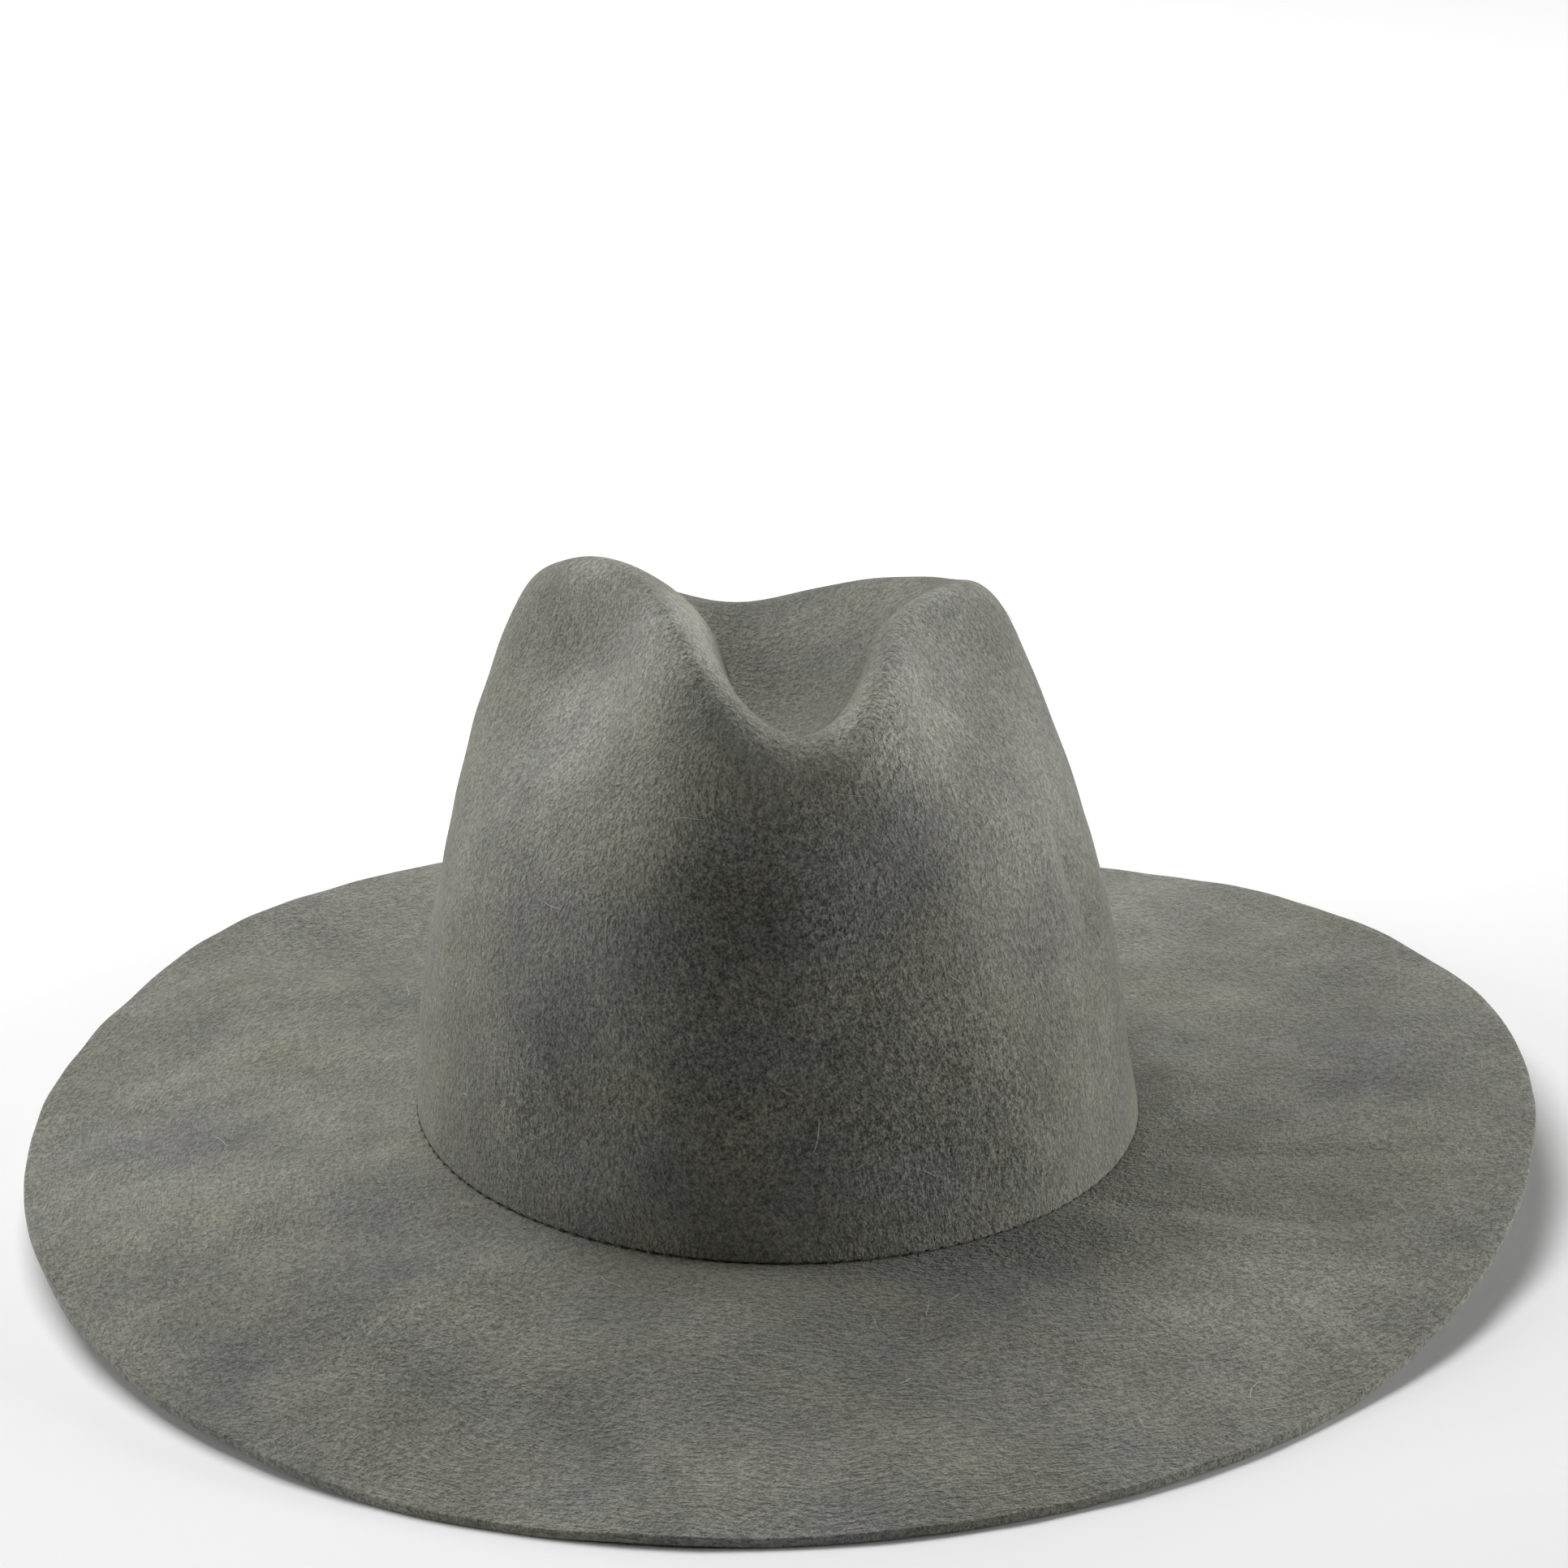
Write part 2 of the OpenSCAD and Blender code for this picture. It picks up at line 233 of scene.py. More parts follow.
def stand(points):
    """Hat frame in mm to the row's frame in metres."""
    return (tilted(np.asarray(points, float)) + REST_SHIFT) / 1000


# ---------------------------------------------------------------- unevenness of hand-shaped felt

def waviness(seed, wavelengths, heights):
    """A smooth function of place: a few plane waves for each wavelength, in mm."""
    draw = np.random.default_rng(seed)
    waves = []
    for wavelength, height in zip(wavelengths, heights):
        for _ in range(5):
            direction = unit(draw.normal(size=3))
            waves.append((direction * 2 * np.pi / wavelength, draw.uniform(0, 2 * np.pi), height / 2.2))
    return lambda points: sum(h * np.sin(points @ k + phase) for k, phase, h in waves)


crown_unevenness = waviness(11, (80, 38, 17), (0.5, 0.35, 0.14))
brim_unevenness = waviness(23, (90, 40, 16), (0.45, 0.35, 0.12))
edge_unevenness = waviness(31, (70, 30, 13), (0.16, 0.1, 0.05))

# small dents and bulges: middle, reach along x, y and z, and how far in (minus is outwards)
CROWN_DENTS = (
    ((64, -42, 78), (3.2, 3.5, 12), 1.3),
    ((69, -39, 58), (3.0, 3.0, 10), 1.0),
    ((60, -49, 70), (5, 5, 16), -0.7),
    ((72, -24, 66), (4, 8, 18), -0.5),
    ((-70, 20, 60), (12, 20, 14), 1.2),
    ((-20, -92, 34), (20, 8, 12), 0.7),
    ((10, 82, 70), (18, 10, 16), 1.0),
)

# ripples and patches on the brim: middle, reach, direction of the ridge in degrees, height
BRIM_RIPPLES = (
    ((95, -76), (30, 4.5), -12, -0.8),
    ((112, -88), (30, 6), -18, 0.4),
    ((112, -60), (32, 6), -6, 0.4),
    ((120, -46), (36, 4), -8, -0.7),
    ((128, 60), (30, 8), 40, 0.9),
    ((112, 100), (26, 7), 46, -0.8),
    ((150, 20), (20, 9), 60, 0.8),
    ((-120, 50), (40, 9), 150, 0.7),
    ((-140, -20), (30, 10), 100, -0.6),
    ((-90, -110), (45, 10), 35, 0.6),
    ((0, -165), (60, 12), 0, -0.5),
    ((-60, 150), (40, 9), 160, 0.7),
    ((60, 160), (40, 9), 20, -0.7),
)


def crown_relief(points):
    relief = crown_unevenness(points) * blend(0, 12, points[..., 2])
    for middle, reach, depth in CROWN_DENTS:
        away = (points - np.array(middle, float)) / np.array(reach, float)
        relief = relief - depth * np.exp(-(away ** 2).sum(-1))
    return relief


def brim_relief(points, share):
    relief = brim_unevenness(points)
    for middle, reach, direction, height in BRIM_RIPPLES:
        x, y = points[..., 0] - middle[0], points[..., 1] - middle[1]
        along = (x * cosd(direction) + y * sind(direction)) / reach[0]
        across = (y * cosd(direction) - x * sind(direction)) / reach[1]
        relief = relief + height * np.exp(-along ** 2 - across ** 2)
    return relief * blend(0.0, 0.12, share)


# ---------------------------------------------------------------- meshes

def shown(mesh, node):
    """The finished piece: smooth, named as its mesh, riding on the hat, in place of its CAD node."""
    mesh.validate()
    mesh.update()
    mesh.polygons.foreach_set("use_smooth", [True] * len(mesh.polygons))
    piece = bpy.data.objects.new(mesh.name, mesh)
    bpy.context.scene.collection.objects.link(piece)
    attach(piece, "root")
    if node:
        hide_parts(node)
    return piece


def quads(rows, columns, wrap_rows, wrap_columns):
    i = np.arange(rows if wrap_rows else rows - 1)[:, None]
    j = np.arange(columns if wrap_columns else columns - 1)[None, :]
    a = i * columns + j
    b = i * columns + (j + 1) % columns
    c = ((i + 1) % rows) * columns + (j + 1) % columns
    d = ((i + 1) % rows) * columns + j
    return np.stack([a, b, c, d], -1).reshape(-1, 4)


def mesh_from(name, points, faces):
    mesh = bpy.data.meshes.new(name)
    mesh.from_pydata(stand(points).tolist(), [], faces)
    return mesh


def add_flow(mesh, grid, wrap_rows, wrap_columns):
    """A UV map in metres: U runs round the hat and V across the section."""
    rows, columns = grid.shape[:2]
    steps = np.linalg.norm(np.roll(grid, -1, 0) - grid, axis=-1).mean(1) / 1000
    v = np.concatenate([[0], np.cumsum(steps)])
    middle = grid[rows // 2]
    around = np.linalg.norm(np.roll(middle, -1, 0) - middle, axis=-1)
    u = np.concatenate([[0], np.cumsum(around)]) / 1000
    i = np.arange(rows if wrap_rows else rows - 1)[:, None]
    j = np.arange(columns if wrap_columns else columns - 1)[None, :]
    i, j = np.broadcast_arrays(i, j)
    corners = [(u[j], v[i]), (u[j + 1], v[i]), (u[j + 1], v[i + 1]), (u[j], v[i + 1])]
    flow = np.stack([np.stack(corner, -1) for corner in corners], 2).reshape(-1)
    values = np.zeros(2 * len(mesh.loops))
    values[:len(flow)] = flow
    mesh.uv_layers.new(name="flow").data.foreach_set("uv", values)
    return mesh


def ring_mesh(name, grid):
    """grid[i][j]: rings i round a closed section, points j round the hat; both close on themselves."""
    rows, columns = grid.shape[:2]
    mesh = mesh_from(name, grid.reshape(-1, 3), quads(rows, columns, True, True).tolist())
    return add_flow(mesh, grid, True, True)


def strip_mesh(name, grid):
    """As ring_mesh over part of a turn, with both ends closed."""
    rows, columns = grid.shape[:2]
    faces = quads(rows, columns, True, False).tolist()
    faces.append([i * columns for i in range(rows)])
    faces.append([i * columns + columns - 1 for i in reversed(range(rows))])
    return add_flow(mesh_from(name, grid.reshape(-1, 3), faces), grid, True, False)


def dome_mesh(name, grid, inner_middle, outer_middle):
    """Rings run down the inner face and up the outer face; a point closes each face."""
    rows, columns = grid.shape[:2]
    count = rows * columns
    faces = quads(rows, columns, False, True).tolist()
    for j in range(columns):
        k = (j + 1) % columns
        faces.append([count, k, j])
        faces.append([count + 1, count - columns + j, count - columns + k])
    points = np.concatenate([grid.reshape(-1, 3), [inner_middle, outer_middle]])
    return add_flow(mesh_from(name, points, faces), grid, False, True)


def tube(path, radius, sides, closed, first_side=None):
    """Points and faces of a round tube along a path; open ends are rounded off."""
    path = np.asarray(path, float)
    ahead = np.roll(path, -1, 0) - np.roll(path, 1, 0)
    if not closed:
        ahead[0], ahead[-1] = path[1] - path[0], path[-1] - path[-2]
    ahead = unit(ahead)
    guide = np.array([0, 0, 1.0]) if first_side is None else np.asarray(first_side, float)
    across = unit(np.cross(ahead, guide))
    over = np.cross(across, ahead)
    radii = np.full(len(path), float(radius))
    if not closed:
        radii[0] = radii[-1] = radius * 0.35
    angle = turns(sides)
    ring = cosd(angle)[None, :, None] * across[:, None] + sind(angle)[None, :, None] * over[:, None]
    grid = path[:, None] + radii[:, None, None] * ring
    faces = quads(len(path), sides, closed, True)[:, ::-1].tolist()
    if not closed:
        faces.append(list(range(sides)))
        faces.append([(len(path) - 1) * sides + k for k in reversed(range(sides))])
    return grid.reshape(-1, 3), faces


def joined(parts):
    """Several lots of points and faces as one."""
    points, faces, base = [], [], 0
    for some_points, some_faces in parts:
        points.append(some_points)
        faces += [[base + k for k in face] for face in some_faces]
        base += len(some_points)
    return np.concatenate(points), faces


# ---------------------------------------------------------------- felt

def lip(steps, radius, thickness):
    """Section of a cut felt edge as (distance in from the outer face, distance back from the edge)."""
    angle = np.linspace(0, 90, steps)
    near = [(radius * (1 - cosd(a)), radius * (1 - sind(a))) for a in angle]
    far = [(thickness - radius * (1 - cosd(a)), radius * (1 - sind(a))) for a in angle[::-1]]
    return near + far


def make_crown():
    columns, rows = 320, 150
    turn = turns(columns)
    first = climb_at(1.0)
    climbs = first + (0.988 - first) * np.linspace(0, 1, rows)
    surface = crown_point(turn[None, :], climbs[:, None])
    out, _ = crown_facing(turn[None, :], climbs[:, None])
    relief = crown_relief(surface)[..., None]
    outer = surface + out * relief
    inner = surface + out * (relief - FELT)
    hem = [wall_point(turn, back, depth) for depth, back in lip(5, 0.8, FELT)]
    grid = np.concatenate([inner[::-1], hem[::-1], outer])
    top = crown_point(0, 1)
    top_relief = crown_relief(top)
    outer_middle = top + [0, 0, top_relief]
    mesh = dome_mesh("crown_felt", grid, outer_middle - [0, 0, FELT], outer_middle)
    return shown(mesh, "crown")


def make_brim():
    columns, rows = 400, 46
    turn = turns(columns)
    shares = np.linspace(0, 1, rows) ** 1.1
    surface = brim_point(turn[None, :], shares[:, None])
    raised = brim_relief(surface, shares[:, None])
    out = unit(np.stack([cosd(turn) / HALF_WIDTH, sind(turn) / HALF_LENGTH, 0 * turn], -1))
    ragged = edge_unevenness(surface[-1])[:, None] * out
    surface[..., 2] += raised
    sunk = -1000 * stand(surface - np.array([0, 0, FELT]))[..., 2]
    surface[..., 2] += np.maximum(0, sunk)
    surface += ragged[None] * blend(0.93, 1, shares)[:, None, None]
    edge = [
        surface[-1] + out * (0.55 - 0.55 * back) - [0, 0, depth]
        for depth, back in lip(4, 0.6, FELT)[1:-1]
    ]
    under = surface - [0, 0, FELT]
    chamfer = 0.5
    inside = [
        surface[0] - out * (FELT - step_back) - [0, 0, depth]
        for step_back, depth in ((chamfer, 0), (0, chamfer), (0, FELT - chamfer), (chamfer, FELT))
    ]
    grid = np.concatenate([surface[::-1], inside, under, edge[::-1]])
    return shown(ring_mesh("brim_felt", grid), "brim")


# ---------------------------------------------------------------- stitches

def stitch(turn, height, depth, length, radius, bury, slant=0.0):
    """One visible stitch: it comes out of the felt or leather, lies on it and goes back in."""
    around, up = length * cosd(slant) / 2, length * sind(slant) / 2
    here = wall_point(turn, height, depth)
    side = unit(wall_point(turn + 0.2, height, depth) - wall_point(turn - 0.2, height, depth))
    out, rise = crown_facing(turn, climb_at(height))
    share = np.array([-1.0, -0.86, -0.5, 0, 0.5, 0.86, 1.0])
    sink = bury * np.array([1, 0.35, 0.02, 0, 0.02, 0.35, 1])
    path = here + share[:, None] * (around * side + up * rise) + sink[:, None] * out
    return tube(path, radius, 8, False, first_side=rise if slant < 45 else side)


def make_seam_stitches():
    draw = np.random.default_rng(5)
    parts = []
    for turn in turns(SEAM_STITCHES):
        length, tip = draw.normal(1.9, 0.15), draw.normal(0, 0.12)
        slant = draw.normal(0, 4)
        parts.append(stitch(turn + tip, 0.42, -0.08, length, radius=0.22, bury=-0.7, slant=slant))
    points, faces = joined(parts)
    return shown(mesh_from("seam_stitches_thread", points, faces), "seam_stitches")


def make_band_stitches():
    draw = np.random.default_rng(6)
    half_step = 180 / BAND_STITCHES
    parts = []
    for turn in turns(BAND_STITCHES):
        length, slant = draw.normal(3.1, 0.1), draw.normal(0, 1.5)
        here = (turn + half_step, SEWING_LINE, LEATHER_FACE + 0.1)
        parts.append(stitch(*here, length, radius=0.24, bury=-0.5, slant=slant))
    points, faces = joined(parts)
    return shown(mesh_from("sweatband_stitches_thread", points, faces), "sweatband_stitches")


def make_lacing():
    foot, head, slant = 8.0, BAND_TOP - TOP_GROOVE, 35
    parts = []
    for k in range(LACING_STITCHES):
        here = (BACK_TURN, foot + k * (head - foot) / (LACING_STITCHES - 1), LEATHER_FACE + 0.25)
        way = slant if k % 2 == 0 else -slant
        parts.append(stitch(*here, length=5.0, radius=0.26, bury=-0.6, slant=way))
    points, faces = joined(parts)
    return shown(mesh_from("sweatband_lacing_thread", points, faces), "sweatband_back_lacing")


# ---------------------------------------------------------------- sweatband

def make_sweatband():
    joint_gap = 0.35
    turn = np.linspace(BACK_TURN + joint_gap, BACK_TURN + 360 - joint_gap, 300)
    heights = np.linspace(LEATHER_FOOT + 0.4, BAND_TOP - 0.4, 22)
    bulge = waviness(41, (60, 24), (0.18, 0.08))
    curl = 0.35 * blend(BAND_TOP - 9, BAND_TOP, heights)

    def face(depth, inward):
        points = wall_point(turn[None, :], heights[:, None], depth + curl[:, None])
        groove = 0.18 * bell(heights - (BAND_TOP - TOP_GROOVE), 0.8) - 0.22 * bell(heights - SEWING_LINE, 1.0)
        shift = bulge(points) + (groove[:, None] if inward else 0)
        out, _ = crown_facing(turn[None, :], climb_at(heights)[:, None])
        return points + out * shift[..., None] * 0.8

    outer = face(LEATHER_DEPTH, False)
    inner = face(LEATHER_FACE, True)
    foot_lip = wall_point(turn, LEATHER_FOOT, LEATHER_DEPTH + LEATHER / 2)[None]
    top_lip = wall_point(turn, BAND_TOP, LEATHER_DEPTH + LEATHER / 2 + 0.35)[None]
    grid = np.concatenate([foot_lip, outer, top_lip, inner[::-1]])
    return shown(strip_mesh("sweatband_leather", grid), "sweatband")


def section_rings(section, turn):
    return np.stack([wall_point(turn, height, depth) for depth, height in section])


def arc(middle, radius, start, end, steps):
    angle = np.linspace(start, end, steps)
    return [(middle[0] - radius * cosd(a), middle[1] + radius * sind(a)) for a in angle]


def make_reed():
    rings = section_rings(arc((REED_DEPTH, REED_HEIGHT), REED_RADIUS, 0, 330, 12), turns(240))
    return shown(ring_mesh("sweatband_reed_cord", rings), "sweatband_reed")


def make_tape():
    """Cloth folded round the reed, with a tab that stands up between felt and leather."""
    turn = turns(300)
    middle, wrap, steps = (REED_DEPTH, REED_HEIGHT), -250, 16
    tab = np.linspace(REED_HEIGHT + 1.5, 9.0, 6)
    section = arc(middle, TAPE_OUTSIDE, wrap, 0, steps)
    section += [(TAPE_EDGE, height) for height in tab]
    section += [(REED_DEPTH - TAPE_INSIDE, height) for height in tab[::-1]]
    section += arc(middle, TAPE_INSIDE, 0, wrap, steps)
    grid = section_rings(section, turn)
    grid[:steps, :, 2] += 0.07 * np.sin(np.radians(turn) * 75)
    return shown(ring_mesh("reed_tape_cloth", grid), "reed_tape")


def ribbon(path, widths, thickness):
    """A flat ribbon along a path of (sideways, inwards, up) points, standing on its edge."""
    path = np.asarray(path, float)
    ahead = unit(np.gradient(path, axis=0))
    up = np.array([0, 0, 1.0])
    across = unit(np.cross(ahead, up))
    over = unit(np.cross(across, ahead))
    bulge = 0.62
    front = ((-1, 0.5), (-1, -0.5), (-0.5, -bulge), (0.5, -bulge))
    section = front + tuple((-wide, -thick) for wide, thick in front)
    half_widths = np.asarray(widths)[:, None] / 2
    grid = np.stack([
        path + over * (wide * half_widths) + across * thick * thickness for wide, thick in section
    ])
    count = len(path)
    faces = quads(len(section), count, True, False).tolist()
    faces.append([k * count for k in range(len(section))])
    faces.append([k * count + count - 1 for k in reversed(range(len(section)))])
    return grid.reshape(-1, 3), faces


def knot(middle, radii, levels):
    """An oval barrel of one ring for each level, drawn in at its top and bottom."""
    sides, draw_in = 24, 0.75
    angle = turns(sides)
    oval = np.stack([radii[0] * cosd(angle), radii[1] * sind(angle), 0 * angle], -1)
    rings = np.stack([oval + [0, 0, level] for level in levels])
    rings[[0, -1]] *= [draw_in, draw_in, 1]
    faces = quads(len(levels), sides, False, True).tolist()
    faces.append(list(range(sides))[::-1])
    faces.append([(len(levels) - 1) * sides + k for k in range(sides)])
    return rings.reshape(-1, 3) + middle, faces


def make_bow():
    """Two flattened loops, two short tails and a knot, tied from narrow ribbon."""
    place = wall_point(BACK_TURN, 12.0, LEATHER_FACE)
    parts = []
    for side in (-1, 1):
        swing = np.linspace(0, 1, 26)
        reach = 11.2 * np.sin(np.pi * swing) ** 0.55
        inward = 1.0 + 2.4 * swing + 0.5 * np.sin(np.pi * swing)
        path = np.stack([side * reach, -inward, 0.25 * np.sin(2 * np.pi * swing)], -1)
        widths = 4.6 + 5.6 * np.sin(np.pi * swing) ** 0.7
        parts.append(ribbon(path, widths, 0.5))
        swing = np.linspace(0, 1, 12)
        path = np.stack([side * (1 + 7.5 * swing), -(3.1 - 1.4 * swing), -6.2 * swing ** 1.1], -1)
        parts.append(ribbon(path, 4.0 + 1.6 * swing, 0.45))
    parts.append(knot([0, -2.2, 0], (2.3, 2.0), (-2.9, -2.2, 0, 2.2, 2.9)))
    points, faces = joined(parts)
    mesh = mesh_from("sweatband_bow_ribbon", points * [1, 0.8, 1] + place, faces)
    return shown(mesh, "sweatband_bow")


# ---------------------------------------------------------------- lining and tag

def double(outer, inner):
    """Both faces of a thin sheet, as one closed run of rings."""
    return np.concatenate([outer, inner[::-1]])


def lining_room(turn, climb):
    """The lining's depth: more under a dent in the felt, so that the felt doesn't press through."""
    return LINING_DEPTH + np.maximum(0, -crown_relief(crown_point(turn, climb)))


def make_lining_side():
    columns, rows = 360, 60
    turn = turns(columns)
    climbs = np.linspace(climb_at(LINING_FOOT), LINING_SEAM - LINING_SEAM_GAP, rows)
    near_seam = blend(climbs[0], climbs[-1], climbs)[:, None]
    draw = np.random.default_rng(51)
    folds = sum(
        height * np.maximum(0, np.sin(np.radians(turn) * count + draw.uniform(0, 6.28))) ** 2
        for count, height in ((23, 0.5), (37, 0.45), (61, 0.25))
    )[None, :]
    slack = 0.25 + folds * (0.35 + 0.9 * near_seam) * (1 - 0.75 * bell(near_seam - 1, 0.06))
    room = lining_room(turn[None, :], climbs[:, None]) + slack * 0.9
    faces = [crown_skin(turn[None, :], climbs[:, None], room + thickness) for thickness in (0, LINING)]
    return shown(ring_mesh("lining_side_satin", double(*faces)), "lining_side")


def make_lining_tip():
    columns, rows = 240, 50
    turn = turns(columns)
    climbs = np.linspace(LINING_SEAM + LINING_SEAM_GAP, 0.985, rows)
    surface = crown_skin(turn[None, :], climbs[:, None], LINING_DEPTH)
    usual_slack = 0.35
    puckers = waviness(61, (38, 18), (0.3, 0.16))(surface)
    slack = np.maximum((usual_slack + puckers) * blend(climbs[0], climbs[0] + 0.08, climbs)[:, None], 0)
    room = lining_room(turn[None, :], climbs[:, None]) + slack
    outer = crown_skin(turn[None, :], climbs[:, None], room)
    inner = crown_skin(turn[None, :], climbs[:, None], room + LINING)
    grid = np.concatenate([inner[::-1], outer])
    low = crown_point(0, 1) - [0, 0, lining_room(0, 1) + usual_slack + LINING]
    mesh = dome_mesh("lining_tip_satin", grid, low, low + [0, 0, LINING])
    return shown(mesh, "lining_tip")


def make_piping():
    turn = turns(300)
    path = crown_skin(turn, LINING_SEAM, lining_room(turn, LINING_SEAM) + LINING + 1.2)
    points, faces = tube(path, 0.85, 12, True)
    return shown(mesh_from("lining_piping_cord", points, faces), "lining_piping")


def make_tag():
    """A folded blank tag that stands up behind the leather."""
    first, last = 146, 154
    turn = np.linspace(first, last, 24)
    heights = np.linspace(20, BAND_TOP + 8, 40)
    lean = 0.8 * blend(BAND_TOP, heights[-1], heights)[:, None]
    wave = 0.1 * np.sin(np.radians(turn - first) * 40)[None, :]
    depth = (LINING_DEPTH + LINING + LEATHER_DEPTH) / 2 + lean + wave
    faces = [wall_point(turn[None, :], heights[:, None], depth + offset) for offset in (-0.12, 0.12)]
    return shown(strip_mesh("size_tag_blank", double(*faces)), "size_tag")


def make_hairs():
    """A few loose hairs and specks of lint lying on the felt."""
    draw = np.random.default_rng(77)
    parts = []
    for k in range(HAIRS):
        length = draw.uniform(3, 9)
        bend = draw.normal(0, 0.35, 2)
        steps = np.linspace(-0.5, 0.5, 9) * length
        if k % 2:
            turn, height = draw.uniform(0, 360), draw.uniform(8, 120)
            here = crown_skin(turn, climb_at(height))
            out, rise = crown_facing(turn, climb_at(height))
            here = here + out * crown_relief(here)
            side = np.cross(out, rise)
        else:
            turn, share = draw.uniform(0, 360), draw.uniform(0.1, 0.95)
            here = brim_point(turn, share)
            here = here + [0, 0, brim_relief(here, share)]
            rise = unit(brim_point(turn, share + 0.02) - brim_point(turn, share - 0.02))
            side = unit(brim_point(turn + 0.5, share) - brim_point(turn - 0.5, share))
            out = np.cross(rise, side)
            out = out * np.sign(out[2])
        angle = draw.uniform(0, 360)
        along = cosd(angle) * side + sind(angle) * rise
        over = np.cross(out, along)
        curl = bend[0] * steps ** 2 / length + bend[1] * steps ** 3 / length ** 2 * 2
        lift = 0.12 + draw.uniform(0, 0.5) * (steps / length + 0.5) ** 2
        path = here + steps[:, None] * along + curl[:, None] * over + lift[:, None] * out
        parts.append(tube(path, draw.uniform(0.035, 0.06), 5, False, first_side=out))
    points, faces = joined(parts)
    return shown(mesh_from("loose_hairs", points, faces), None)


# ---------------------------------------------------------------- materials

def add(tree, kind, inputs=None, **settings):
    node = tree.nodes.new("ShaderNode" + kind)
    for name, value in settings.items():
        setattr(node, name, value)
    for key, value in (inputs or {}).items():
        if isinstance(value, bpy.types.NodeSocket):
            tree.links.new(value, node.inputs[key])
        else:
            node.inputs[key].default_value = value
    return node


def noise(tree, vector, scale, detail=2.0, roughness=0.5):
    inputs = {"Vector": vector, "Scale": scale, "Detail": detail, "Roughness": roughness}
    return add(tree, "TexNoise", inputs).outputs["Fac"]


def maths(tree, operation, first, second=0.0, third=0.0):
    return add(tree, "Math", {0: first, 1: second, 2: third}, operation=operation).outputs[0]


def weighted(tree, base, *values_and_weights):
    """The base with each value added, times its weight."""
    total = base
    for value, weight in values_and_weights:
        total = maths(tree, "MULTIPLY_ADD", value, weight, total)
    return total


def stretched(tree, vector, scale, turn=(0.0, 0.0, 0.0)):
    """Coordinates turned by some degrees, then scaled along each axis."""
    angles = tuple(math.radians(a) for a in turn)
    turned = add(tree, "Mapping", {"Vector": vector, "Rotation": angles}).outputs[0]
    return add(tree, "Mapping", {"Vector": turned, "Scale": scale}).outputs[0]


def mixed(tree, share, first, second):
    node = add(tree, "Mix", data_type="RGBA", clamp_factor=True)
    for socket, value in ((node.inputs[0], share), (node.inputs[6], first), (node.inputs[7], second)):
        if isinstance(value, bpy.types.NodeSocket):
            tree.links.new(value, socket)
        else:
            socket.default_value = value
    return node.outputs[2]


def limits(tree, value, low, high, to_low=0.0, to_high=1.0):
    inputs = {"Value": value, "From Min": low, "From Max": high, "To Min": to_low, "To Max": to_high}
    return add(tree, "MapRange", inputs, interpolation_type="SMOOTHSTEP").outputs["Result"]


def dimmed(tree, colour, share):
    return add(tree, "VectorMath", {0: colour, "Scale": share}, operation="SCALE").outputs[0]


def rgb(red, green, blue):
    return (red, green, blue, 1.0)


def metres(millimetres):
    return tuple(length / 1000 for length in millimetres)


def new_material(name, roughness, specular=0.3, sheen=0.0, sheen_roughness=0.5, sheen_tint=rgb(1, 1, 1)):
    material = bpy.data.materials.new(name)
    material.use_nodes = True
    tree = material.node_tree
    surface = tree.nodes["Principled BSDF"]
    surface.inputs["Roughness"].default_value = roughness
    surface.inputs["Specular IOR Level"].default_value = specular
    surface.inputs["Sheen Weight"].default_value = sheen
    surface.inputs["Sheen Roughness"].default_value = sheen_roughness
    surface.inputs["Sheen Tint"].default_value = sheen_tint
    return material, tree, surface


def finish_material(tree, surface, colour, height, bump_mm, strength=1.0):
    tree.links.new(colour, surface.inputs["Base Color"])
    bump = add(tree, "Bump", {"Height": height, "Distance": bump_mm / 1000, "Strength": strength})
    tree.links.new(bump.outputs["Normal"], surface.inputs["Normal"])


def object_place(tree):
    return add(tree, "TexCoord").outputs["Object"]


def flow_place(tree):
    """The flow UV map as a vector, in metres."""
    return add(tree, "UVMap", uv_map="flow").outputs["UV"]


FELT_GREY = rgb(0.175, 0.175, 0.153)
FELT_OLIVE = rgb(0.187, 0.184, 0.145)
FELT_DUSKY = rgb(0.149, 0.148, 0.138)

# features to the metre, along and across the way the felt was brushed
NAP = (520, 1150)
FIBRES = (600, 4200)

# paler and darker places on the felt, partly worn nap and partly painted highlight and painted shade, such as
# the bright lip and flanks and the dark front of the crown: middle and reach in millimetres, change of
# brightness
CROWN_PAINTED_LIGHT_AND_WEAR = (
    ((-14, -32, 146), (10, 22, 10), 0.75),
    ((-34, -44, 138), (12, 16, 14), 0.3),
    ((-3, -64, 132), (11, 9, 9), 0.08),
    ((20, -63, 131), (11, 11, 9), 0.75),
    ((36, -46, 134), (16, 24, 18), 0.5),
    ((42, -12, 142), (12, 18, 12), 0.35),
    ((-42, -30, 126), (18, 20, 18), 0.42),
    ((-37, 2, 150), (14, 16, 12), 0.38),
    ((54, -48, 106), (18, 24, 24), 0.34),
    ((68, -18, 100), (12, 20, 22), 0.25),
    ((-66, -34, 85), (20, 26, 30), 0.15),
    ((-30, -66, 116), (10, 12, 14), 0.2),
    ((-43, -4, 138), (9, 12, 8), -0.2),
    ((-10, -80, 104), (18, 16, 18), -0.27),
    ((-4, -90, 66), (34, 24, 44), -0.3),
    ((40, -86, 45), (20, 20, 26), -0.3),
    ((-60, -67, 50), (16, 20, 30), -0.22),
)
